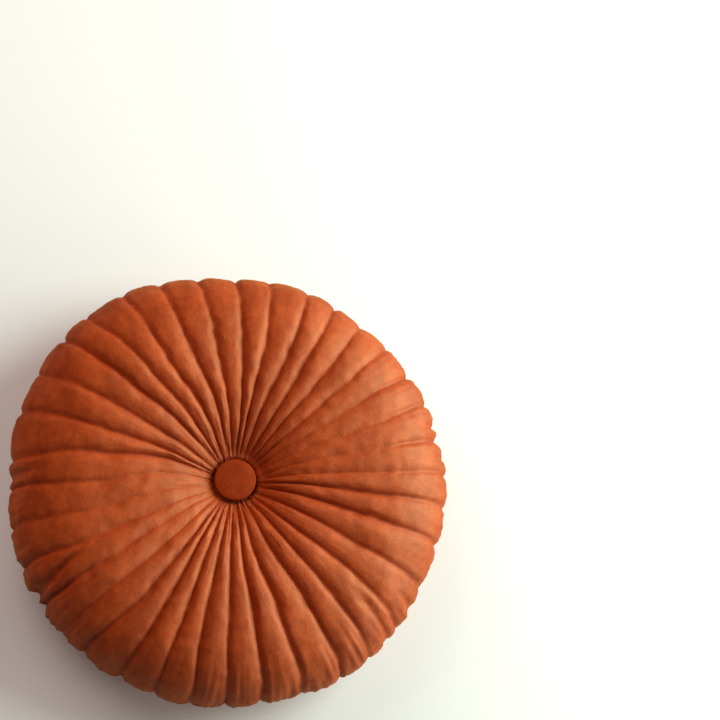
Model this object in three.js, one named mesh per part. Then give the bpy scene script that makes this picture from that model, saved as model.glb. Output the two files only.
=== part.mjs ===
// A round pumpkin cushion: a stuffed velvet cover, sewn into channels that run from the rim to
// the middle of both faces, where a covered button is tufted in deep.
// Millimetres, +Z up. The cushion lies on its back. The origin is on the surface, under the
// middle of the outline. Angles are in degrees, counterclockwise from +X seen from above.
import * as THREE from 'three';

// Driving sizes of the stuffed cover
const RADIUS = 200; // half the width, to the crests of the ribs
const THICKNESS = 100; // surface to crown
const CROWN_RADIUS = 122; // ring on which the cushion is thickest
const HEART_RADIUS = 56; // ring inside which the ribs fall into the tuft
const TUFT_RADIUS = 20; // flat floor of each tuft, under the button
const TUFT_DEPTH_FRONT = 27; // crown to tuft floor
const TUFT_DEPTH_BACK = 26;
const TUFT_OFFSET = new THREE.Vector2(0.5, 1); // how far the front tuft is pulled off centre
const FLATTENING = 2.6; // how much the underside is pressed flat by lying
const RIM_SQUARENESS = 0.86; // 1 makes the side a plain ellipse, less makes it fuller

// Driving sizes of the buttons
const BUTTON_RADIUS = 19;
const BUTTON_HEIGHT = 8.4;
const BUTTON_EDGE = 3; // height at which the dome starts
const BUTTON_BEVEL = 1.5; // how far the base is drawn in under the edge
const BUTTON_GAP = 0.3; // between a button and the tuft floor

// Steps of the mesh across one rib, from its seam to the next, as fractions of the rib
const RIB_STEPS = [0, 0.12, 0.36, 0.64, 0.88];
const RIB_FULLNESS = 0.5; // the lower, the flatter the rib's top and the narrower its furrows

// The seams between the ribs, one row each. rim, face and heart are the seam's angles on the
// rim, on the crown ring and on the heart ring. depth scales the furrow that the seam draws in.
// reach is how far, in millimetres, the rim stands out there from an even circle.
const SEAMS = [
  { rim: 4, face: 3, heart: 3.5, depth: 0.8, reach: -3 },
  { rim: 13.5, face: 12.5, heart: 13.5, depth: 0.7, reach: -4 },
  { rim: 24, face: 22.5, heart: 23.5, depth: 0.8, reach: -3.5 },
  { rim: 33, face: 33, heart: 32, depth: 0.8, reach: -5 },
  { rim: 43, face: 42, heart: 40.5, depth: 0.8, reach: -4 },
  { rim: 52.5, face: 51, heart: 50.5, depth: 1, reach: -4.5 },
  { rim: 61, face: 60, heart: 59.5, depth: 1.1, reach: -4.5 },
  { rim: 69.5, face: 68, heart: 70.5, depth: 1, reach: -2.5 },
  { rim: 80.5, face: 78.5, heart: 79.5, depth: 0.9, reach: -3.5 },
  { rim: 90, face: 88, heart: 86, depth: 1, reach: -5 },
  { rim: 100.5, face: 99, heart: 96.5, depth: 1, reach: -2.5 },
  { rim: 111, face: 110, heart: 105, depth: 1, reach: 1 },
  { rim: 121, face: 120.5, heart: 116.5, depth: 0.9, reach: 4 },
  { rim: 132, face: 129.5, heart: 127.5, depth: 0.9, reach: 6 },
  { rim: 140, face: 139, heart: 136, depth: 1, reach: 6 },
  { rim: 151, face: 150, heart: 149, depth: 0.9, reach: 5.5 },
  { rim: 162, face: 161, heart: 159.5, depth: 1, reach: 4.5 },
  { rim: 175, face: 171, heart: 165, depth: 1, reach: 1 },
  { rim: 182.5, face: 183.5, heart: 178, depth: 0.8, reach: 1 },
  { rim: 193, face: 194.5, heart: 191.5, depth: 0.7, reach: 3.5 },
  { rim: 203, face: 205, heart: 204, depth: 1, reach: 3.5 },
  { rim: 214, face: 214, heart: 213.5, depth: 1, reach: 2.5 },
  { rim: 222.5, face: 224, heart: 225, depth: 0.8, reach: 2 },
  { rim: 229.5, face: 234, heart: 236, depth: 1, reach: 1.5 },
  { rim: 241, face: 242.5, heart: 242, depth: 1.2, reach: 1 },
  { rim: 250.5, face: 251, heart: 250, depth: 1.1, reach: 1 },
  { rim: 260, face: 258.5, heart: 258.5, depth: 1.1, reach: 1 },
  { rim: 269, face: 268, heart: 267, depth: 1.1, reach: -1.5 },
  { rim: 278.5, face: 278, heart: 275.5, depth: 1.3, reach: -2.5 },
  { rim: 289.5, face: 288, heart: 284, depth: 1.1, reach: -1.5 },
  { rim: 300.5, face: 300, heart: 296, depth: 1.1, reach: 0 },
  { rim: 309.5, face: 309.5, heart: 308.5, depth: 1, reach: 1 },
  { rim: 320, face: 321, heart: 319.5, depth: 1, reach: -1 },
  { rim: 332, face: 332, heart: 332.5, depth: 0.9, reach: -5 },
  { rim: 344.5, face: 344.5, heart: 346.5, depth: 1.1, reach: -4 },
  { rim: 355, face: 354.5, heart: 355.5, depth: 1, reach: -3 },
];

// Rings of the mesh on a face, from the tuft floor out to the crown, and how deep the furrows
// are drawn in there, in millimetres
const FACE_RINGS = [
  { radius: TUFT_RADIUS, furrow: 0 },
  { radius: 25, furrow: 1.4 },
  { radius: 31, furrow: 2.8 },
  { radius: 42, furrow: 3.9 },
  { radius: HEART_RADIUS, furrow: 4.6 },
  { radius: 76, furrow: 4.6 },
  { radius: 99, furrow: 4.8 },
  { radius: CROWN_RADIUS, furrow: 5 },
];

// Rings of the mesh round the side, by their angle down from the front crown
const SIDE_RINGS = [
  { angle: 20, furrow: 4.8 },
  { angle: 39, furrow: 4.6 },
  { angle: 57, furrow: 4.4 },
  { angle: 74, furrow: 4.2 },
  { angle: 90, furrow: 4 },
  { angle: 106, furrow: 4.2 },
  { angle: 123, furrow: 4.4 },
  { angle: 140, furrow: 4.6 },
  { angle: 157, furrow: 4.8 },
  { angle: 171, furrow: 4.9 },
];

const { degToRad, lerp, clamp } = THREE.MathUtils;
const FULL_TURN = 360;
const HALF_THICKNESS = THICKNESS / 2;

// How far a face has sunk at a radius inside the crown ring: a shallow bowl that turns steep
// at the button
function sinkAt(radius, tuftDepth) {
  const inward = clamp((CROWN_RADIUS - radius) / (CROWN_RADIUS - TUFT_RADIUS), 0, 1);
  const bowl = 0.5 * inward ** 2;
  const plunge = 0.5 * inward ** 5;
  return tuftDepth * (bowl + plunge);
}

// Where a seam lies at a radius on the front, between the three angles of its row
function seamAngle(seam, radius) {
  if (radius >= CROWN_RADIUS) {
    const outward = (radius - CROWN_RADIUS) / (RADIUS - CROWN_RADIUS);
    return lerp(seam.face, seam.rim, outward);
  }
  const outward = clamp((radius - HEART_RADIUS) / (CROWN_RADIUS - HEART_RADIUS), 0, 1);
  return lerp(seam.heart, seam.face, outward);
}

// The outline of a rib's crest in section, from the front tuft over the rim to the back tuft.
// The furrow is drawn in from it along the surface's normal.
function crestRings() {
  const front = FACE_RINGS.map(({ radius, furrow }) => ({
    radius,
    height: THICKNESS - sinkAt(radius, TUFT_DEPTH_FRONT),
    furrow,
    back: false,
  }));
  const side = SIDE_RINGS.map(({ angle, furrow }) => {
    const across = Math.sin(degToRad(angle)) ** RIM_SQUARENESS;
    return {
      radius: lerp(CROWN_RADIUS, RADIUS, across),
      height: HALF_THICKNESS * (1 + Math.cos(degToRad(angle))),
      furrow,
      back: angle > 90,
    };
  });
  const back = [...FACE_RINGS].reverse().map(({ radius, furrow }) => ({
    radius,
    height: sinkAt(radius, TUFT_DEPTH_BACK),
    furrow,
    back: true,
  }));
  return [...front, ...side, ...back];
}

// The outward direction of the section at a ring, from the rings on both sides of it
function ringNormal(rings, index) {
  const before = rings[Math.max(index - 1, 0)];
  const after = rings[Math.min(index + 1, rings.length - 1)];
  const along = new THREE.Vector2(after.radius - before.radius, after.height - before.height);
  return new THREE.Vector2(-along.y, along.x).normalize();
}

// One ring of points, rib after rib. Each rib bulges between its two seams.
function ringPoints(ring, normal) {
  const centre = TUFT_OFFSET.clone().multiplyScalar(ring.back ? 0 : 1 - ring.radius / RADIUS);
  const onSide = clamp((ring.radius - CROWN_RADIUS) / (RADIUS - CROWN_RADIUS), 0, 1);
  const points = [];
  SEAMS.forEach((seam, index) => {
    const wraps = index + 1 === SEAMS.length;
    const next = SEAMS[(index + 1) % SEAMS.length];
    const start = ring.back ? seam.rim : seamAngle(seam, ring.radius);
    const end = (ring.back ? next.rim : seamAngle(next, ring.radius)) + (wraps ? FULL_TURN : 0);
    RIB_STEPS.forEach((step) => {
      const bulge = Math.sin(Math.PI * step) ** RIB_FULLNESS;
      const drawnIn = ring.furrow * lerp(seam.depth, next.depth, step) * (1 - bulge);
      const reach = onSide * lerp(seam.reach, next.reach, step);
      const out = ring.radius + reach - drawnIn * normal.x;
      const angle = degToRad(lerp(start, end, step));
      let height = ring.height - drawnIn * normal.y;
      if (ring.back) height = Math.max(height - FLATTENING, 0);
      points.push(new THREE.Vector3(
        centre.x + out * Math.cos(angle),
        centre.y + out * Math.sin(angle),
        height,
      ));
    });
  });
  return points;
}

// The whole cover as one closed solid: its rings, joined by quads, and a flat floor in each tuft
function coverGeometry() {
  const rings = crestRings();
  const rows = rings.map((ring, index) => ringPoints(ring, ringNormal(rings, index)));
  const columns = rows[0].length;
  const at = (row, column) => row * columns + (column % columns);
  const faces = [];
  for (let row = 0; row + 1 < rows.length; row += 1) {
    for (let column = 0; column < columns; column += 1) {
      faces.push(at(row, column), at(row + 1, column), at(row + 1, column + 1));
      faces.push(at(row, column), at(row + 1, column + 1), at(row, column + 1));
    }
  }
  const points = rows.flat();
  const lastRow = rows.length - 1;
  const frontMiddle = points.length;
  const backMiddle = frontMiddle + 1;
  points.push(new THREE.Vector3(TUFT_OFFSET.x, TUFT_OFFSET.y, rows[0][0].z));
  points.push(new THREE.Vector3(0, 0, rows[lastRow][0].z));
  for (let column = 0; column < columns; column += 1) {
    faces.push(frontMiddle, at(0, column), at(0, column + 1));
    faces.push(backMiddle, at(lastRow, column + 1), at(lastRow, column));
  }
  const geometry = new THREE.BufferGeometry().setFromPoints(points);
  geometry.setIndex(faces);
  geometry.computeVertexNormals();
  return geometry;
}

// A covered button, standing on z = 0: a flat base, a rounded edge and a low dome
function buttonGeometry() {
  const edgeSteps = 4;
  const domeSteps = 6;
  const turnSteps = 48;
  const quarter = Math.PI / 2;
  const profile = [new THREE.Vector2(0, 0)];
  for (let step = 0; step <= edgeSteps; step += 1) {
    const turn = (step / edgeSteps) * quarter;
    profile.push(new THREE.Vector2(
      BUTTON_RADIUS - BUTTON_BEVEL * (1 - Math.sin(turn)),
      BUTTON_EDGE * (1 - Math.cos(turn)),
    ));
  }
  for (let step = 1; step < domeSteps; step += 1) {
    const turn = (step / domeSteps) * quarter;
    profile.push(new THREE.Vector2(
      BUTTON_RADIUS * Math.cos(turn),
      lerp(BUTTON_EDGE, BUTTON_HEIGHT, Math.sin(turn)),
    ));
  }
  profile.push(new THREE.Vector2(0, BUTTON_HEIGHT));
  const geometry = new THREE.LatheGeometry(profile, turnSteps);
  geometry.rotateX(quarter);
  return geometry;
}

// Burnt orange velvet
const velvet = new THREE.MeshStandardMaterial({ color: 0xb5562a, roughness: 0.85, metalness: 0 });
const buttonVelvet = new THREE.MeshStandardMaterial({
  color: 0xa54a22,
  roughness: 0.8,
  metalness: 0,
});

const cushion = new THREE.Group();

const cover = new THREE.Mesh(coverGeometry(), velvet);
cover.name = 'cover';
cushion.add(cover);

const buttonFront = new THREE.Mesh(buttonGeometry(), buttonVelvet);
buttonFront.name = 'button_front';
buttonFront.position.set(
  TUFT_OFFSET.x,
  TUFT_OFFSET.y,
  THICKNESS - TUFT_DEPTH_FRONT + BUTTON_GAP,
);
cushion.add(buttonFront);

const buttonBack = new THREE.Mesh(buttonGeometry(), buttonVelvet);
buttonBack.name = 'button_back';
buttonBack.rotation.x = Math.PI;
buttonBack.position.z = TUFT_DEPTH_BACK - FLATTENING - BUTTON_GAP;
cushion.add(buttonBack);

// Centre the outline over the origin
const middle = new THREE.Box3().setFromObject(cushion).getCenter(new THREE.Vector3());
cushion.position.set(-middle.x, -middle.y, 0);

export default cushion;
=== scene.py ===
import math
from collections import namedtuple

import bpy
import numpy as np
from mathutils import Matrix, Vector, noise


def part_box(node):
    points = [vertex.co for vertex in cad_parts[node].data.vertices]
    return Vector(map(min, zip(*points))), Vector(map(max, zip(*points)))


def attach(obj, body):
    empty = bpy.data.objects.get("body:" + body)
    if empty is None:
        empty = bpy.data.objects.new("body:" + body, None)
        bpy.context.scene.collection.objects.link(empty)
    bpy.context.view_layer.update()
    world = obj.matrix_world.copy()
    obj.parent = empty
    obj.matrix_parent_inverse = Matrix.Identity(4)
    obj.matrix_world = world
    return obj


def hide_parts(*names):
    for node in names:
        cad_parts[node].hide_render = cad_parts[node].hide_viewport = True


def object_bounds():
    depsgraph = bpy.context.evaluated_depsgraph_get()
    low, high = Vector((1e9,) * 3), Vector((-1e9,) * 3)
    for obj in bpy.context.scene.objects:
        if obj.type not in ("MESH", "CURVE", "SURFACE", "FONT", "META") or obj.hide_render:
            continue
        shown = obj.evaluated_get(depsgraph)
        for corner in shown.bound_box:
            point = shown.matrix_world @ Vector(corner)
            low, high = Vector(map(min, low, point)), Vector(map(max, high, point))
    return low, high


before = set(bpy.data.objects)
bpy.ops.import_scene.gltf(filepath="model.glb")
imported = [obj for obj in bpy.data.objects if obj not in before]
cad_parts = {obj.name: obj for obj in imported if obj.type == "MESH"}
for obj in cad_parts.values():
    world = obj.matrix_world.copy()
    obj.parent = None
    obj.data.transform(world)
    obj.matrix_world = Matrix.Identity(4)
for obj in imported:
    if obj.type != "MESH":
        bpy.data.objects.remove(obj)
cad_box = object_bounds()
scene = bpy.context.scene
scene.view_settings.view_transform = "Standard"

# The camera looks down on the face of the cushion, which lies on its back. It stands a little
# towards the lower left of the face and is aimed past it, so that the cushion lies low and to
# the left in the square frame.
PHOTO_SIZE = 720
OUTLINE_MIDDLE = (230, 488.5)  # the pixel at which the middle of the outline lies
CAMERA_TILT = math.radians(16)  # away from straight above
CAMERA_SIDE = math.radians(242)  # the direction in which it stands, from +X
CAMERA_DISTANCE = 2.0
CAMERA_LENS = 110  # focal length and width of the sensor, in millimetres
CAMERA_SENSOR = 36

backward = Vector((
    math.cos(CAMERA_SIDE) * math.sin(CAMERA_TILT),
    math.sin(CAMERA_SIDE) * math.sin(CAMERA_TILT),
    math.cos(CAMERA_TILT),
))
rightward = Vector((0, 1, 0)).cross(backward).normalized()
upward = backward.cross(rightward)
pixel = CAMERA_DISTANCE * CAMERA_SENSOR / CAMERA_LENS / PHOTO_SIZE
cushion_middle = (Vector(cad_box[0]) + Vector(cad_box[1])) / 2
aim = (cushion_middle
       + rightward * pixel * (PHOTO_SIZE / 2 - OUTLINE_MIDDLE[0])
       + upward * pixel * (OUTLINE_MIDDLE[1] - PHOTO_SIZE / 2))
camera_data = bpy.data.cameras.new("camera")
camera_data.lens = CAMERA_LENS
camera_data.sensor_width = CAMERA_SENSOR
camera = bpy.data.objects.new("camera", camera_data)
camera.matrix_world = Matrix.Translation(aim + backward * CAMERA_DISTANCE) @ Matrix((
    rightward, upward, backward)).transposed().to_4x4()
scene.collection.objects.link(camera)
scene.camera = camera

# The cover: burnt orange velvet, sewn into ribs over a round pad and stuffed. Each seam runs
# from the tuft of one face over the rim to the tuft of the other, and the cloth between two
# seams swells up into a rib. The thread of the tuft pulls both faces in at the middle.
MM = 0.001
RADIUS = 200 * MM  # half the width, to the crests of the ribs
THICKNESS = 100 * MM
CROWN_RADIUS = 122 * MM  # ring on which the cushion is thickest
HEART_RADIUS = 56 * MM  # ring inside which the ribs fall into the tuft
TUFT_RADIUS = 20 * MM
TUFT_DEPTH_FRONT = 29.5 * MM  # how far a face has sunk at its button
TUFT_DEPTH_BACK = 26 * MM
TUFT_OFFSET = (0.5 * MM, 1 * MM)  # how far the front tuft is pulled off centre
BOWL_CURVE = 2  # half of a tuft's depth is a wide bowl, and half a steep pit at its button
PIT_CURVE = 5
FLATTENING = 2.6 * MM  # how much the underside is pressed flat by lying
RIM_SQUARENESS = 0.86  # 1 makes the side a plain ellipse, less makes it fuller
RIB_FULLNESS = 0.4  # the lower, the flatter a rib's top and the narrower its furrows

# The seams, one row each: their angles in degrees on the rim, on the crown ring and on the
# heart ring, how strongly they draw in at these three, and how far the rim reaches out there,
# in millimetres
Seam = namedtuple("Seam", "rim face heart rim_depth face_depth heart_depth reach")
SEAMS = (
    Seam(4, 3, 3.5, 0.9, 0.45, 0.4, -3),
    Seam(13.5, 12.5, 13.5, 1.5, 0.3, 0.25, -4),
    Seam(24, 22.5, 23.5, 1.3, 0.3, 0.25, -3.5),
    Seam(33, 33, 32, 1.4, 0.45, 0.3, -5),
    Seam(43, 42, 40.5, 0.8, 0.6, 0.7, -4),
    Seam(52.5, 51, 50.5, 0.9, 0.9, 0.8, -4.5),
    Seam(61, 60, 59.5, 1, 1, 0.9, -4.5),
    Seam(69.5, 68, 70.5, 1, 1, 1, -2.5),
    Seam(80.5, 78.5, 79.5, 0.9, 0.8, 1, -3.5),
    Seam(90, 88, 86, 1.1, 1, 1, -5),
    Seam(100.5, 99, 96.5, 1, 0.8, 1, -2.5),
    Seam(111, 110, 105, 1, 0.9, 1, 1),
    Seam(121, 120.5, 116.5, 0.9, 0.8, 1, 4),
    Seam(132, 129.5, 127.5, 0.9, 0.8, 0.9, 6),
    Seam(140, 139, 136, 1.4, 1.1, 0.9, 6),
    Seam(151, 150, 149, 0.9, 0.8, 0.9, 5.5),
    Seam(162, 161, 159.5, 1.1, 1.1, 1.3, 4.5),
    Seam(175, 171, 165, 1, 1.1, 1.4, 1),
    Seam(182.5, 183.5, 178, 1.2, 0.5, 0.3, 1),
    Seam(193, 194.5, 191.5, 0.9, 0.4, 0.3, 3.5),
    Seam(203, 205, 204, 1.3, 0.7, 0.3, 3.5),
    Seam(214, 214, 213.5, 1.7, 0.6, 0.3, 2.5),
    Seam(222.5, 224, 225, 0.8, 0.6, 0.4, 2),
    Seam(229.5, 234, 236, 1.2, 0.9, 1.2, 1.5),
    Seam(241, 242.5, 242, 1.2, 1.2, 1.2, 1),
    Seam(250.5, 251, 250, 1.1, 1.1, 1, 1),
    Seam(260, 258.5, 258.5, 1.1, 1.1, 1, 1),
    Seam(269, 268, 267, 1.1, 1, 1, -1.5),
    Seam(278.5, 278, 275.5, 1.3, 1.3, 1.3, -2.5),
    Seam(289.5, 288, 284, 1.1, 1, 1.2, -1.5),
    Seam(300.5, 300, 296, 1.1, 1, 1.2, 0),
    Seam(309.5, 309.5, 308.5, 1, 0.8, 1.1, 1),
    Seam(320, 321, 319.5, 1, 0.8, 1.1, -1),
    Seam(332, 332, 332.5, 1.1, 0.7, 1.2, -5),
    Seam(344.5, 344.5, 346.5, 1.1, 1.2, 1.4, -4),
    Seam(355, 354.5, 355.5, 1, 1.2, 1.3, -3),
)
rim_angle, face_angle, heart_angle, rim_depth, face_depth, heart_depth, reach = (
    np.array(SEAMS, float).T)
# Creases between seams: angle at the rim, the radius at which they start and their depth in
# millimetres, their width in degrees, and how many degrees aside they start
Fold = namedtuple("Fold", "angle inner depth width swing")
FOLDS = (
    Fold(8.5, 172, 2.6, 1, 0),
    Fold(17.7, 174, 4.6, 1, 0.5),
    Fold(179.5, 165, 4, 1.2, -2),
    Fold(210.6, 148, 7.6, 1.1, -3.3),
    Fold(315.5, 138, 3, 1.2, 2),
    Fold(326, 168, 3, 1, 1),
)
FOLD_FADE = 22 * MM  # length over which a crease deepens from its start
# Depth of a furrow of strength 1 at each radius, both in millimetres
FURROW_DEPTH = ((20, 0), (25, 0.9), (31, 1.7), (42, 2.4), (56, 3), (122, 4.2), (200, 3.4))
SEAM_WANDER = 0.5  # degrees by which a seam strays from its line
WANDER_LENGTH = 40 * MM
RIB_LEAN = 0.5  # how far the crest of a rib strays from its middle
LEAN_LENGTH = 70 * MM
RIB_COLUMNS = 8  # columns of the mesh across one rib
ROWS = 84  # rows from tuft to tuft
ROW_CROWDING = 0.035  # draws the rows closer together at the tufts and at the rim
FACE_SAMPLES = 500  # points of the section from which the rows are spaced
SIDE_SAMPLES = 1000
# How far apart in the noise two neighbouring seams lie, so that they don't stray alike
WANDER_APART = 3.7
LEAN_APART = 5.3
LEAN_PLANE = 7.5  # keeps the lean apart from the wander
# The simulation of the stuffing
VELVET_WEIGHT = 0.01  # kilograms at each point of the mesh
VELVET_STIFFNESS = 0.2  # against bending
STRETCH_STIFFNESS = 8
SQUEEZE_STIFFNESS = 4
SHEAR_STIFFNESS = 3
AIR_DRAG = 2
STUFFING_PRESSURE = 30
STUFFING_STEPS = 20
STUFFING_QUALITY = 5  # rounds of sums in each step
HELD_ROWS = 2  # rows of the mesh that a tuft holds
FACE_SPARE_CLOTH = 0.002  # how much longer the cloth is than its way over the stuffing
RIM_SPARE_CLOTH = 0.02
SPARE_START = 130 * MM  # radii between which the cloth gets its rim's length
SPARE_FULL = 165 * MM
MOST_SWELLING = 8 * MM


def sink(radius, tuft_depth):
    """How far a face has sunk at a radius inside the crown ring."""
    inward = np.clip((CROWN_RADIUS - radius) / (CROWN_RADIUS - TUFT_RADIUS), 0, 1)
    return tuft_depth * (inward ** BOWL_CURVE + inward ** PIT_CURVE) / 2


def crest_line(rows):
    """Radius, height and outward normal along a rib's crest, row by row, from tuft to tuft."""
    face = np.linspace(TUFT_RADIUS, CROWN_RADIUS, FACE_SAMPLES)
    turn = np.linspace(0, np.pi, SIDE_SAMPLES)[1:-1]
    side = CROWN_RADIUS + (RADIUS - CROWN_RADIUS) * np.sin(turn) ** RIM_SQUARENESS
    radius = np.concatenate((face, side, face[::-1]))
    height = np.concatenate((
        THICKNESS - sink(face, TUFT_DEPTH_FRONT),
        THICKNESS / 2 * (1 + np.cos(turn)),
        sink(face[::-1], TUFT_DEPTH_BACK),
    ))
    steps = np.hypot(np.diff(radius), np.diff(height))
    length = np.concatenate(((0,), np.cumsum(steps)))
    length /= length[-1]
    place = np.linspace(0, 1, rows)
    place = place - ROW_CROWDING * np.sin(4 * np.pi * place)
    radius = np.interp(place, length, radius)
    height = np.interp(place, length, height)
    across = np.gradient(radius)
    down = np.gradient(height)
    size = np.hypot(across, down)
    return [line[:, None] for line in (radius, height, -down / size, across / size)]


def rib_columns(columns):
    """For each column of the mesh: its seam, the next seam, and how far it lies between."""
    step = np.tile(np.arange(columns) / columns, len(SEAMS))
    seam = np.repeat(np.arange(len(SEAMS)), columns)
    return seam, (seam + 1) % len(SEAMS), step


def ease(place, start, end):
    """Rises smoothly from 0 at the start to 1 at the end."""
    share = np.clip((place - start) / (end - start), 0, 1)
    return share * share * (3 - 2 * share)


def by_ring(radius, rim, face, heart):
    """Each seam's value at each radius, from those on the rim, the crown and the heart ring."""
    outward = ease(radius, CROWN_RADIUS, RADIUS)
    inward = ease(radius, CROWN_RADIUS, HEART_RADIUS)
    return face + outward * (rim - face) + inward * (heart - face)


def across_rib(values, columns):
    """Blends the values of a rib's two seams across it, column by column."""
    seam, following, step = columns
    return values[..., seam] + (values[..., following] - values[..., seam]) * step


def uneven(x, y, z=0.0):
    """Smooth random values from about -1 to 1 at places."""
    places = np.stack(np.broadcast_arrays(x, y, z), axis=-1)
    values = [noise.noise(Vector(place)) for place in places.reshape(-1, 3)]
    return np.array(values).reshape(places.shape[:-1])


def degrees_off(angle, place):
    """How many degrees an angle in radians lies beside a place in degrees."""
    return (np.degrees(angle) - place + 180) % 360 - 180


def folds(radius, height, angle):
    """How deep the single creases between the seams are pressed in."""
    over_rim = ease(height, 0, THICKNESS / 2)
    drawn_in = np.zeros(angle.shape)
    for fold in FOLDS:
        aside = fold.swing * ease(radius, RADIUS, fold.inner * MM)
        across = np.exp(-(degrees_off(angle, fold.angle + aside) / fold.width) ** 2)
        start = np.clip((radius - fold.inner * MM) / FOLD_FADE, 0, 1)
        drawn_in += fold.depth * MM * across * start * over_rim
    return drawn_in


def cover_points():
    """The cover's surface as rows of points, each row a ring round the cushion."""
    radius, height, normal_out, normal_up = crest_line(ROWS)
    columns = rib_columns(RIB_COLUMNS)
    seam, following, step = columns
    back = np.arange(ROWS)[:, None] >= ROWS / 2
    seam_angle = np.where(
        back, rim_angle, by_ring(radius, rim_angle, face_angle, heart_angle))
    along = np.where(back, -height, height) - radius
    seam_angle += SEAM_WANDER * uneven(
        np.arange(len(SEAMS)) * WANDER_APART, along / WANDER_LENGTH)
    start = seam_angle[:, seam]
    end = seam_angle[:, following] + np.where(following < seam, 360, 0)
    angle = np.radians(start + (end - start) * step)
    lean = RIB_LEAN * uneven(seam * LEAN_APART, along / LEAN_LENGTH, LEAN_PLANE)
    bulge = np.sin(np.pi * step + lean * np.sin(np.pi * step)) ** RIB_FULLNESS
    radii, depths = np.array(FURROW_DEPTH).T * MM
    strength = across_rib(by_ring(radius, rim_depth, face_depth, heart_depth), columns)
    drawn_in = np.interp(radius, radii, depths) * strength * (1 - bulge)
    drawn_in += folds(radius, height, angle)
    stretch = ease(radius, CROWN_RADIUS, RADIUS) * across_rib(reach, columns) * MM
    out = radius + stretch - drawn_in * normal_out
    up = height - drawn_in * normal_up
    up = np.where(back, np.maximum(up - FLATTENING, 0), up)
    pulled = np.where(back, 0, 1 - radius / RADIUS)
    return np.stack((
        pulled * TUFT_OFFSET[0] + out * np.cos(angle),
        pulled * TUFT_OFFSET[1] + out * np.sin(angle),
        up,
    ), axis=2)


def halfway(before, first, second, after):
    """The middle between two points, on the smooth curve through four in a row."""
    return (9 * (first + second) - before - after) / 16


def refined(points):
    """Doubles the rows and columns, along smooth curves that break at a seam."""
    rows, columns, _axes = points.shape
    before = np.concatenate((points[:1], points[:-1]))
    after = np.concatenate((points[1:], points[-1:]))
    afterwards = np.concatenate((after[1:], after[-1:]))
    taller = np.empty((2 * rows - 1, columns, 3))
    taller[::2] = points
    taller[1::2] = halfway(before, points, after, afterwards)[:-1]
    ribs = taller.reshape(len(taller), len(SEAMS), -1, 3)
    closed = np.concatenate((ribs, np.roll(ribs, -1, axis=1)[:, :, :1]), axis=2)
    first = 2 * closed[:, :, :1] - closed[:, :, 1:2]
    last = 2 * closed[:, :, -1:] - closed[:, :, -2:-1]
    padded = np.concatenate((first, closed, last), axis=2)
    wider = np.empty((len(taller), len(SEAMS), 2 * ribs.shape[2], 3))
    wider[:, :, ::2] = ribs
    wider[:, :, 1::2] = halfway(
        padded[:, :, :-3], padded[:, :, 1:-2], padded[:, :, 2:-1], padded[:, :, 3:])
    return wider.reshape(len(taller), -1, 3)


def grid_mesh(name, points):
    """A closed mesh through rings of points, with a flat floor inside the first and last."""
    rows, columns, _axes = points.shape
    ring = np.arange(columns)
    quads = [np.stack((
        row * columns + ring,
        (row + 1) * columns + ring,
        (row + 1) * columns + (ring + 1) % columns,
        row * columns + (ring + 1) % columns,
    ), axis=1) for row in range(rows - 1)]
    faces = np.concatenate(quads).tolist()
    front_middle, back_middle = rows * columns, rows * columns + 1
    last = (rows - 1) * columns
    for column in range(columns):
        beside = (column + 1) % columns
        faces.append((front_middle, column, beside))
        faces.append((back_middle, last + beside, last + column))
    verts = np.concatenate((
        points.reshape(-1, 3), points[:1].mean(axis=1), points[-1:].mean(axis=1)))
    mesh = bpy.data.meshes.new(name)
    mesh.from_pydata(verts.tolist(), [], faces)
    mesh.shade_smooth()
    return mesh


def centred(points):
    """Moves the cover sideways over the middle of its solid."""
    low, high = (np.array(corner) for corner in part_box("cover"))
    box_low, box_high = points.min(axis=(0, 1)), points.max(axis=(0, 1))
    shift = (low + high - box_low - box_high) / 2
    shift[2] = 0
    return points + shift


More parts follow.
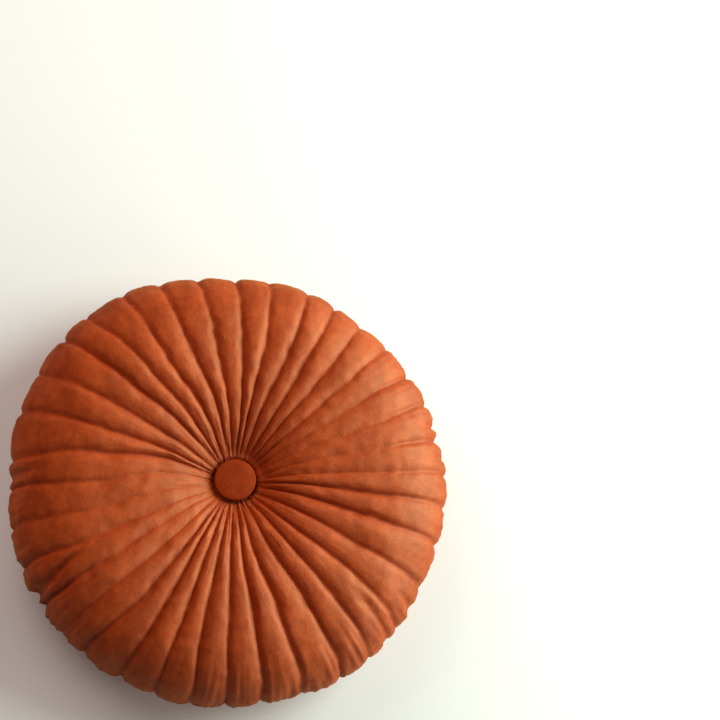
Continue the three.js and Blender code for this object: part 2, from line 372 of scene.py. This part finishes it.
def stuffed(points):
    """Swells the cover between its held seams by cloth simulation, looser at the rim."""
    rows, columns, _axes = points.shape
    shape = bpy.data.objects.new("stuffing", grid_mesh("stuffing", points))
    scene.collection.objects.link(shape)
    index = np.arange(rows * columns).reshape(rows, columns)
    held = shape.vertex_groups.new(name="held")
    seams = index[:, ::RIB_COLUMNS].ravel()
    tufts = np.concatenate((index[:HELD_ROWS].ravel(), index[-HELD_ROWS:].ravel()))
    middles = (rows * columns, rows * columns + 1)
    held.add(np.unique(np.concatenate((seams, tufts, middles))).tolist(), 1.0, "REPLACE")
    cloth = shape.modifiers.new("stuffing", "CLOTH")
    settings = cloth.settings
    settings.quality = STUFFING_QUALITY
    settings.mass = VELVET_WEIGHT
    settings.air_damping = AIR_DRAG
    settings.tension_stiffness = STRETCH_STIFFNESS
    settings.compression_stiffness = SQUEEZE_STIFFNESS
    settings.shear_stiffness = SHEAR_STIFFNESS
    settings.bending_stiffness = VELVET_STIFFNESS
    settings.vertex_group_mass = "held"
    settings.use_pressure = True
    settings.uniform_pressure_force = STUFFING_PRESSURE
    loose = shape.vertex_groups.new(name="loose")
    looseness = ease(crest_line(rows)[0][:, 0], SPARE_START, SPARE_FULL)
    for row, weight in enumerate(looseness):
        loose.add(index[row].tolist(), float(weight), "REPLACE")
    settings.vertex_group_shrink = "loose"
    settings.shrink_min = -FACE_SPARE_CLOTH
    settings.shrink_max = -RIM_SPARE_CLOTH
    settings.effector_weights.gravity = 0
    cloth.collision_settings.use_collision = False
    for step in range(1, STUFFING_STEPS + 1):
        scene.frame_set(step)
    swollen = shape.evaluated_get(bpy.context.evaluated_depsgraph_get()).data
    places = np.empty(len(swollen.vertices) * 3)
    swollen.vertices.foreach_get("co", places)
    moved = places.reshape(-1, 3)[:rows * columns].reshape(points.shape) - points
    far = np.linalg.norm(moved, axis=2, keepdims=True)
    moved *= MOST_SWELLING / np.maximum(far, MOST_SWELLING)
    bpy.data.objects.remove(shape)
    scene.frame_set(1)
    return points + moved


cover_surface = centred(cover_points())
cover_surface = stuffed(cover_surface)
cover_surface = refined(cover_surface)

# What the hand feels on the filled cover: lumps of stuffing, puckers beside the stitches, fine
# gathers round the buttons, a lip of cloth round the front one, and the ruffled seam that joins
# the two faces round the rim
Lump = namedtuple("Lump", "size height")
LUMPS = (Lump(60 * MM, 2 * MM), Lump(24 * MM, 0.9 * MM), Lump(11 * MM, 0.3 * MM))
PUCKER_HEIGHT = 1.1 * MM
PUCKER_LENGTH = 10 * MM
PUCKER_REACH = 8 * MM  # from the seam
PUCKER_APART = 4.3  # how far apart in the noise neighbouring seams lie
PUCKER_PLANE = 9.5  # and how far a seam's two sides do
GATHER_HEIGHT = 0.6 * MM
GATHER_LEAST = 0.3  # share of their height that the gathers keep out to the rim
GATHER_FINENESS = 22  # the higher, the more of them stand round a button
GATHER_LENGTH = 30 * MM
GATHER_START = 24 * MM  # radii between which they fade
GATHER_END = 62 * MM
RUFFLE_HEIGHT = 1.9 * MM
RUFFLE_FINENESS = 48  # the higher, the more of them run round the rim
RUFFLE_LENGTH = 30 * MM
RUFFLE_START = 150 * MM  # radius beyond which the rim is ruffled
RUFFLE_LEAST = 0.25  # share of their height where the rim is smoothest
# Where the rim is ruffled most: angle, and how many degrees it spreads each way
Ruffle = namedtuple("Ruffle", "angle spread")
RUFFLES = (Ruffle(18, 16), Ruffle(215, 28), Ruffle(300, 42))
RIM_SEAM_DEPTH = 1.2 * MM
RIM_SEAM_WIDTH = 2.2 * MM
LIP_HEIGHT = 2.2 * MM  # how far the cloth stands up round the front button
LIP_TOP = 20.8 * MM  # radii at which it is highest and at which it ends
LIP_END = 27 * MM
FURROW_SHADE_WIDTH = 2.4 * MM


def relief(points):
    """How far the fine unevenness lifts each point, and how much painted shade it gets in a
    furrow.
    """
    radius, height, _out, _up = crest_line(len(points))
    columns = rib_columns(points.shape[1] // len(SEAMS))
    seam, following, step = columns
    angle = np.arctan2(points[:, :, 1], points[:, :, 0])
    rib_width = 2 * np.pi * radius / len(SEAMS)
    to_seam = np.minimum(step, 1 - step) * rib_width
    nearest = np.where(step < 0.5, seam, following)
    lift = np.zeros(angle.shape)
    for lump in LUMPS:
        lift += lump.height * uneven(*np.moveaxis(points / lump.size, 2, 0))
    side = np.where(step < 0.5, 0, PUCKER_PLANE)
    back = np.arange(len(points))[:, None] >= len(points) / 2
    along = np.where(back, -height, height) - radius
    lift += (PUCKER_HEIGHT * np.exp(-(to_seam / PUCKER_REACH) ** 2)
             * uneven(nearest * PUCKER_APART, along / PUCKER_LENGTH, side))
    strength = by_ring(radius, rim_depth, face_depth, heart_depth)
    gathered = GATHER_LEAST + (1 - GATHER_LEAST) * ease(radius, GATHER_END, GATHER_START)
    gathered = gathered * across_rib(strength, columns)
    lift += GATHER_HEIGHT * gathered * ease(radius, TUFT_RADIUS, GATHER_START) * uneven(
        GATHER_FINENESS * np.cos(angle), GATHER_FINENESS * np.sin(angle),
        along / GATHER_LENGTH)
    to_rim = points[:, :, 2] - THICKNESS / 2
    ruffled = np.full(angle.shape, RUFFLE_LEAST)
    for ruffle in RUFFLES:
        spread = np.exp(-(degrees_off(angle, ruffle.angle) / ruffle.spread) ** 2)
        ruffled += (1 - RUFFLE_LEAST) * spread
    lift += RUFFLE_HEIGHT * ruffled * ease(radius, RUFFLE_START, RADIUS) * uneven(
        RUFFLE_FINENESS * np.cos(angle), RUFFLE_FINENESS * np.sin(angle),
        to_rim / RUFFLE_LENGTH)
    outside = radius > CROWN_RADIUS
    lift -= RIM_SEAM_DEPTH * np.exp(-(to_rim / RIM_SEAM_WIDTH) ** 2) * outside
    # Painted shade: strongest at each seam's furrow, fading to the rib's crest
    furrow_shade = strength[:, nearest] * np.exp(-(to_seam / FURROW_SHADE_WIDTH) ** 2)
    return lift, furrow_shade


lift, furrow_shade = relief(cover_surface)
radius, _height, normal_out, normal_up = crest_line(len(cover_surface))
angle = np.arctan2(cover_surface[:, :, 1], cover_surface[:, :, 0])
front = np.arange(len(cover_surface))[:, None] < len(cover_surface) / 2
lip = LIP_HEIGHT * ease(radius, TUFT_RADIUS, LIP_TOP) * ease(radius, LIP_END, LIP_TOP) * front
cover_surface += np.stack((
    lift * normal_out * np.cos(angle),
    lift * normal_out * np.sin(angle),
    lift * normal_up + lip,
), axis=2)
cover_surface[:, :, 2] = np.maximum(cover_surface[:, :, 2], 0)
cover = bpy.data.objects.new("cushion_cover", grid_mesh("cushion_cover", cover_surface))
scene.collection.objects.link(cover)
# Carries the painted furrow shade to the material
furrow_shade_layer = cover.data.attributes.new("furrow_shade", "FLOAT", "POINT")
furrow_shade_layer.data.foreach_set("value", np.append(furrow_shade.ravel(), (0, 0)))


class Socket:
    """One output of a shader node, with arithmetic that adds Math nodes."""

    def __init__(self, tree, output):
        self.tree = tree
        self.output = output

    def node(self, kind, settings=None, inputs=None, output=0):
        """Adds a node of a kind, makes its settings, then fills its sockets."""
        made = self.tree.nodes.new(kind)
        for name, value in (settings or {}).items():
            setattr(made, name, value)
        for name, value in (inputs or {}).items():
            if isinstance(value, Socket):
                self.tree.links.new(value.output, made.inputs[name])
            else:
                made.inputs[name].default_value = value
        return Socket(self.tree, made.outputs[output])

    def maths(self, operation, first, second):
        """Adds the Math node of an operation on two sockets or values."""
        return self.node("ShaderNodeMath", {"operation": operation}, {0: first, 1: second})

    def __add__(self, other):
        return self.maths("ADD", self, other)

    def __radd__(self, other):
        return self.maths("ADD", other, self)

    def __sub__(self, other):
        return self.maths("SUBTRACT", self, other)

    def __rsub__(self, other):
        return self.maths("SUBTRACT", other, self)

    def __mul__(self, other):
        return self.maths("MULTIPLY", self, other)

    def __rmul__(self, other):
        return self.maths("MULTIPLY", other, self)


MIX_FIRST, MIX_SECOND, MIX_RESULT = 6, 7, 2  # places of the Mix node's colour sockets


def mix_colours(factor, first, second):
    """Goes from the first colour to the second as the factor goes from 0 to 1."""
    return factor.node(
        "ShaderNodeMix", {"data_type": "RGBA"},
        {"Factor": factor, MIX_FIRST: first, MIX_SECOND: second}, output=MIX_RESULT)


# How the pile lies, from coarse to fine: how often it turns in each metre, how broken up the
# marks are, and how strongly they change its colour
PileMarks = namedtuple("PileMarks", "often detail roughness distortion contrast")
COMBED = PileMarks(1, 6, 0.6, 0.5, 3)
CRUSHED = PileMarks(130, 3, 0.65, 0, 2.2)
GRAIN = PileMarks(700, 2, 0.7, 0, 1.2)
COMBED_STREAKS = (46, 17, 30)  # how much oftener it is combed along x, y and z
NOISE_MIDDLE = 0.5  # the value round which a noise texture swings
FURROW_SHADE_SHARE = 0.5  # how much of the painted furrow shade shows at the bottom of a furrow
PILE_DEPTH = 0.8 * MM
PILE_STRENGTH = 0.5
GRAIN_SHARE = 0.5  # the grain's height beside that of the crushed marks
PILE_ROUGHNESS = 0.64
PILE_TINT = (1, 0.78, 0.44, 1)  # of the gloss on the pile
SHEEN = 0.3
SHEEN_ROUGHNESS = 0.4
SHEEN_TINT = (1, 0.46, 0.14, 1)


def pile_marks(place, marks):
    """The noise by which the pile lies unevenly, at a place on it."""
    return place.node("ShaderNodeTexNoise", inputs={
        "Vector": place, "Scale": marks.often, "Detail": marks.detail,
        "Roughness": marks.roughness, "Distortion": marks.distortion})


def velvet(name, light_pile, dark_pile, furrow_shade_colour, shine):
    """Velvet whose short pile is brushed lighter and darker, with shade painted darker into the
    furrows.
    """
    material = bpy.data.materials.new(name)
    material.use_nodes = True
    tree = material.node_tree
    shader = tree.nodes["Principled BSDF"]
    place = Socket(tree, tree.nodes.new("ShaderNodeTexCoord").outputs["Object"])
    streaks = place.node("ShaderNodeVectorMath", {"operation": "MULTIPLY"}, {
        0: place, 1: COMBED_STREAKS})
    combed = pile_marks(streaks, COMBED)
    crushed = pile_marks(place, CRUSHED)
    grain = pile_marks(place, GRAIN)
    lay = (NOISE_MIDDLE
           + (combed - NOISE_MIDDLE) * COMBED.contrast
           + (crushed - NOISE_MIDDLE) * CRUSHED.contrast
           + (grain - NOISE_MIDDLE) * GRAIN.contrast)
    pile = mix_colours(lay, dark_pile, light_pile)
    # Painted shade: the colour goes towards the furrow colour along the furrows
    furrow_shade = place.node("ShaderNodeAttribute", {"attribute_name": "furrow_shade"}, output="Fac")
    colour = mix_colours(furrow_shade * FURROW_SHADE_SHARE, pile, furrow_shade_colour)
    bump = place.node("ShaderNodeBump", inputs={
        "Strength": PILE_STRENGTH, "Distance": PILE_DEPTH,
        "Height": crushed + grain * GRAIN_SHARE})
    tree.links.new(colour.output, shader.inputs["Base Color"])
    tree.links.new(bump.output, shader.inputs["Normal"])
    shader.inputs["Roughness"].default_value = PILE_ROUGHNESS
    shader.inputs["Specular IOR Level"].default_value = shine
    shader.inputs["Specular Tint"].default_value = PILE_TINT
    shader.inputs["Sheen Weight"].default_value = SHEEN * shine
    shader.inputs["Sheen Roughness"].default_value = SHEEN_ROUGHNESS
    shader.inputs["Sheen Tint"].default_value = SHEEN_TINT
    return material


LIGHT_PILE = (0.47, 0.052, 0.006, 1)
DARK_PILE = (0.34, 0.028, 0.001, 1)
# The colour of the painted shade at the bottom of the furrows
FURROW_SHADE_COLOUR = (0.32, 0.02, 0.001, 1)
COVER_SHINE = 1
cover.data.materials.append(
    velvet("cover_velvet", LIGHT_PILE, DARK_PILE, FURROW_SHADE_COLOUR, COVER_SHINE))
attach(cover, "root")
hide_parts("cover")

# The buttons: a shallow dome of pressed metal with the cover's velvet stretched over it, held
# by the tuft's thread. The one on the underside is its partner.
BUTTON_RINGS = 24
BUTTON_TURNS = 96
BUTTON_EDGE = 0.7  # height of the edge, as a share of the button's height
BUTTON_BEVEL = 1.5 * MM
BUTTON_SHARE = 0.98  # how much of its solid's size the button has
BUTTON_LIGHT_PILE = (0.32, 0.03, 0.003, 1)
BUTTON_DARK_PILE = (0.24, 0.02, 0.001, 1)
BUTTON_SHINE = 0.25  # less than the cover's, because its pile is pulled flat

button_velvet = velvet(
    "button_velvet", BUTTON_LIGHT_PILE, BUTTON_DARK_PILE, FURROW_SHADE_COLOUR, BUTTON_SHINE)
for node in ("button_front", "button_back"):
    low, high = (Vector(corner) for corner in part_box(node))
    middle = (low + high) / 2
    radius = (high.x - low.x) / 2 * BUTTON_SHARE
    outside = 1 if node == "button_front" else -1
    size = (high.z - low.z) * BUTTON_SHARE
    foot = middle.z - outside * (high.z - low.z) / 2
    turn = np.linspace(0, np.pi / 2, BUTTON_RINGS)
    edge = BUTTON_EDGE * size
    profile_radius = np.concatenate((
        radius - BUTTON_BEVEL * (1 - np.sin(turn)), radius * np.cos(turn[1:-1])))
    profile_height = np.concatenate((
        edge * (1 - np.cos(turn)), edge + (size - edge) * np.sin(turn[1:-1])))
    around = np.linspace(0, 2 * np.pi, BUTTON_TURNS, endpoint=False) * outside
    rings = np.stack((
        middle.x + profile_radius[::-1, None] * np.cos(around),
        middle.y + profile_radius[::-1, None] * np.sin(around),
        np.broadcast_to(
            foot + outside * profile_height[::-1, None],
            (len(profile_radius), BUTTON_TURNS)),
    ), axis=2)
    button = bpy.data.objects.new(node + "_velvet", grid_mesh(node + "_velvet", rings))
    scene.collection.objects.link(button)
    button.data.materials.append(button_velvet)
    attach(button, "root")
    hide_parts(node)

# The floor that the cushion lies on, a plain pale sheet. It is no part of the cushion, and the
# velvet's gloss doesn't mirror it.
FLOOR_SIZE = 12.0
FLOOR_COLOUR = (0.9, 0.87, 0.9, 1)
FLOOR_ROUGHNESS = 0.9
floor_mesh = bpy.data.meshes.new("floor")
half = FLOOR_SIZE / 2
floor_mesh.from_pydata(
    [(-half, -half, 0), (half, -half, 0), (half, half, 0), (-half, half, 0)], [], [(0, 1, 2, 3)])
floor = bpy.data.objects.new("floor", floor_mesh)
scene.collection.objects.link(floor)
floor_paint = bpy.data.materials.new("floor_paint")
floor_paint.use_nodes = True
floor_shader = floor_paint.node_tree.nodes["Principled BSDF"]
floor_shader.inputs["Base Color"].default_value = FLOOR_COLOUR
floor_shader.inputs["Roughness"].default_value = FLOOR_ROUGHNESS
floor.data.materials.append(floor_paint)
floor.visible_glossy = False

# One large soft light from the right, rather low over the face, a weak one still lower from
# the lower right, and one from the upper left. The last one and the even sky leave no gloss.
LAMP_DISTANCE = 1.8
# The side and the height of each lamp are in degrees, its size in metres, its power in watts
Lamp = namedtuple("Lamp", "name side height size power colour gloss")
LAMPS = (
    Lamp("key_light", 20, 25, 1.5, 57, (0.84, 1, 0.87), True),
    Lamp("low_light", 337, 14, 1.2, 11, (0.88, 1, 0.87), True),
    Lamp("fill_light", 125, 40, 1.6, 15, (1, 0.9, 0.8), False),
)
SKY_COLOUR = (1, 0.8, 0.65, 1)
SKY_STRENGTH = 0.16
for lamp in LAMPS:
    light = bpy.data.lights.new(lamp.name, "AREA")
    light.shape = "DISK"
    light.size = lamp.size
    light.energy = lamp.power
    light.color = lamp.colour
    side, height = math.radians(lamp.side), math.radians(lamp.height)
    towards = Vector((
        math.cos(side) * math.cos(height), math.sin(side) * math.cos(height), math.sin(height)))
    stand = bpy.data.objects.new(lamp.name, light)
    stand.location = cushion_middle + towards * LAMP_DISTANCE
    stand.rotation_euler = towards.to_track_quat("Z", "Y").to_euler()
    stand.visible_glossy = lamp.gloss
    scene.collection.objects.link(stand)
sky = bpy.data.worlds.new("sky")
sky.use_nodes = True
sky.node_tree.nodes["Background"].inputs["Color"].default_value = SKY_COLOUR
sky.node_tree.nodes["Background"].inputs["Strength"].default_value = SKY_STRENGTH
scene.world = sky
sky.cycles_visibility.glossy = False
